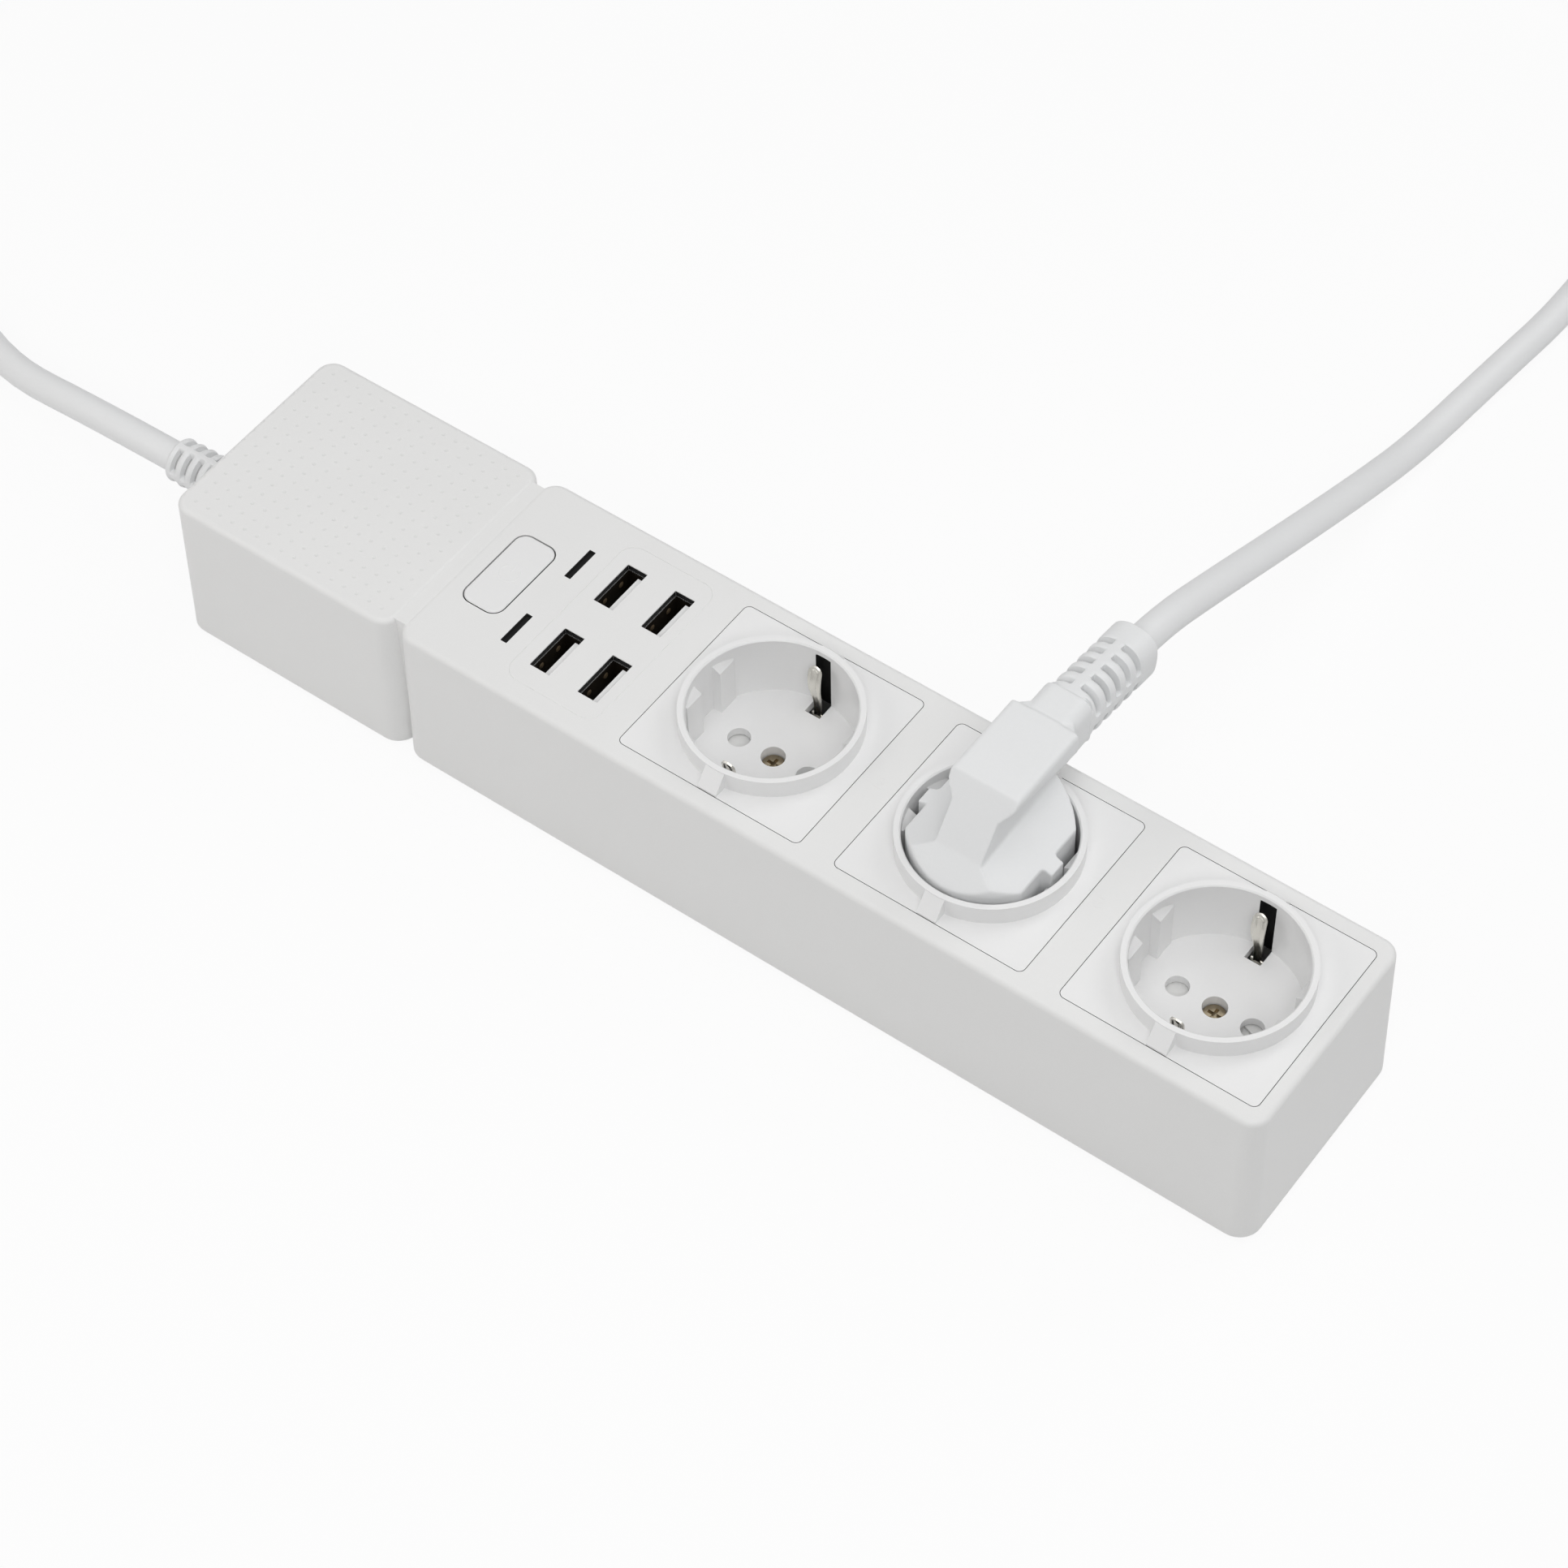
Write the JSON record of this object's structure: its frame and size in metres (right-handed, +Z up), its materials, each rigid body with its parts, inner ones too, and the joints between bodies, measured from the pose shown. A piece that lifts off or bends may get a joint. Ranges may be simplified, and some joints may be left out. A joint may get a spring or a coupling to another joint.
{
  "type": "power strip",
  "caption": "Long white power strip with a control box, earthed sockets, USB outlets, a push button, status windows and a cord whose moulded plug sits in the middle socket.",
  "frame": {"origin": "middle of the strip's footprint, on the floor it stands on, without its cord", "axes": "+X along the strip from the cord's end to the last socket, +Y away from the user, +Z up"},
  "size_m": [0.4977, 0.3925, 0.0673],
  "materials": {
    "housing": "fine matt moulded white",
    "insert": "satin white",
    "button": "satin white",
    "shutter": "plain white",
    "feet": "soft pale pads",
    "cord": "matt white sheath",
    "plug": "matt moulded white",
    "tie": "dark wire tie",
    "screw_steel": "zinc plated",
    "spring_nickel": "nickel plated",
    "contact_brass": "pressed sheet",
    "gold_contact": "plated strips",
    "shell_steel": "bright drawn sheet",
    "tongue": "moulded white",
    "lens": "smoked window",
    "lamp": "clear lamp",
    "board": "green lacquered board",
    "relay": "blue casing",
    "component_dark": "dark moulding",
    "can": "plain can",
    "fuse_glass": "clear tube",
    "plunger": "plain plunger",
    "live_brown": "brown insulation",
    "neutral_blue": "blue insulation",
    "earth_green": "green and yellow insulation"
  },
  "bodies": {
    "strip": {"top_housing": "housing", "base_cover": "housing", "socket_insert_1": "insert", "socket_insert_2": "insert", "socket_insert_3": "insert", "usb_panel": "insert", "shutter_2": "shutter", "rubber_feet": "feet", "cord_start": "cord", "cord_coil": "cord", "cord_end": "cord", "cord_grommet": "cord", "mains_plug": "plug", "cord_tie": "tie", "case_screws": "screw_steel", "socket_screws": "screw_steel", "clamp_screws": "screw_steel", "earth_clip_1": "spring_nickel", "earth_clip_2": "spring_nickel", "earth_clip_3": "spring_nickel", "plug_earth_strips": "spring_nickel", "plug_pins": "spring_nickel", "line_contact_1": "contact_brass", "line_contact_2": "contact_brass", "line_contact_3": "contact_brass", "neutral_busbar": "contact_brass", "earth_busbar": "contact_brass", "usb_contacts": "gold_contact", "usb_shell_1": "shell_steel", "usb_shell_2": "shell_steel", "usb_shell_3": "shell_steel", "usb_shell_4": "shell_steel", "usb_tongue_1": "tongue", "usb_tongue_2": "tongue", "usb_tongue_3": "tongue", "usb_tongue_4": "tongue", "indicator_lens_1": "lens", "indicator_lens_2": "lens", "indicator_leds": "lamp", "main_board": "board", "control_board": "board", "usb_board": "board", "relay_1": "relay", "relay_2": "relay", "relay_3": "relay", "transformer": "component_dark", "button_switch": "component_dark", "cord_clamp": "component_dark", "capacitors": "can", "radio_module": "can", "fuse": "fuse_glass", "live_lead": "live_brown", "switched_leads": "live_brown", "neutral_lead": "neutral_blue", "earth_lead": "earth_green"},
    "button": {"power_button": "button", "switch_plunger": "plunger"},
    "shutter_left": {"shutter_1": "shutter"},
    "shutter_right": {"shutter_3": "shutter"}
  },
  "joints": [
    {"name": "button_press", "type": "slide", "parent": "strip", "child": "button", "axis": [0, 0, -1], "range_m": [0, 0.0006], "stiffness_N_per_m": 2000, "springref_m": -0.0004},
    {"name": "shutter_left_turn", "type": "hinge", "parent": "strip", "child": "shutter_left", "pos_m": [0.00347, 0, 0.027], "axis": [0, 0, 1], "range_deg": [0, 42], "stiffness_Nm_per_rad": 0.002, "springref_deg": -11.46},
    {"name": "shutter_right_turn", "type": "hinge", "parent": "strip", "child": "shutter_right", "pos_m": [0.12067, 0, 0.027], "axis": [0, 0, 1], "range_deg": [0, 42], "stiffness_Nm_per_rad": 0.002, "springref_deg": -11.46}
  ]
}
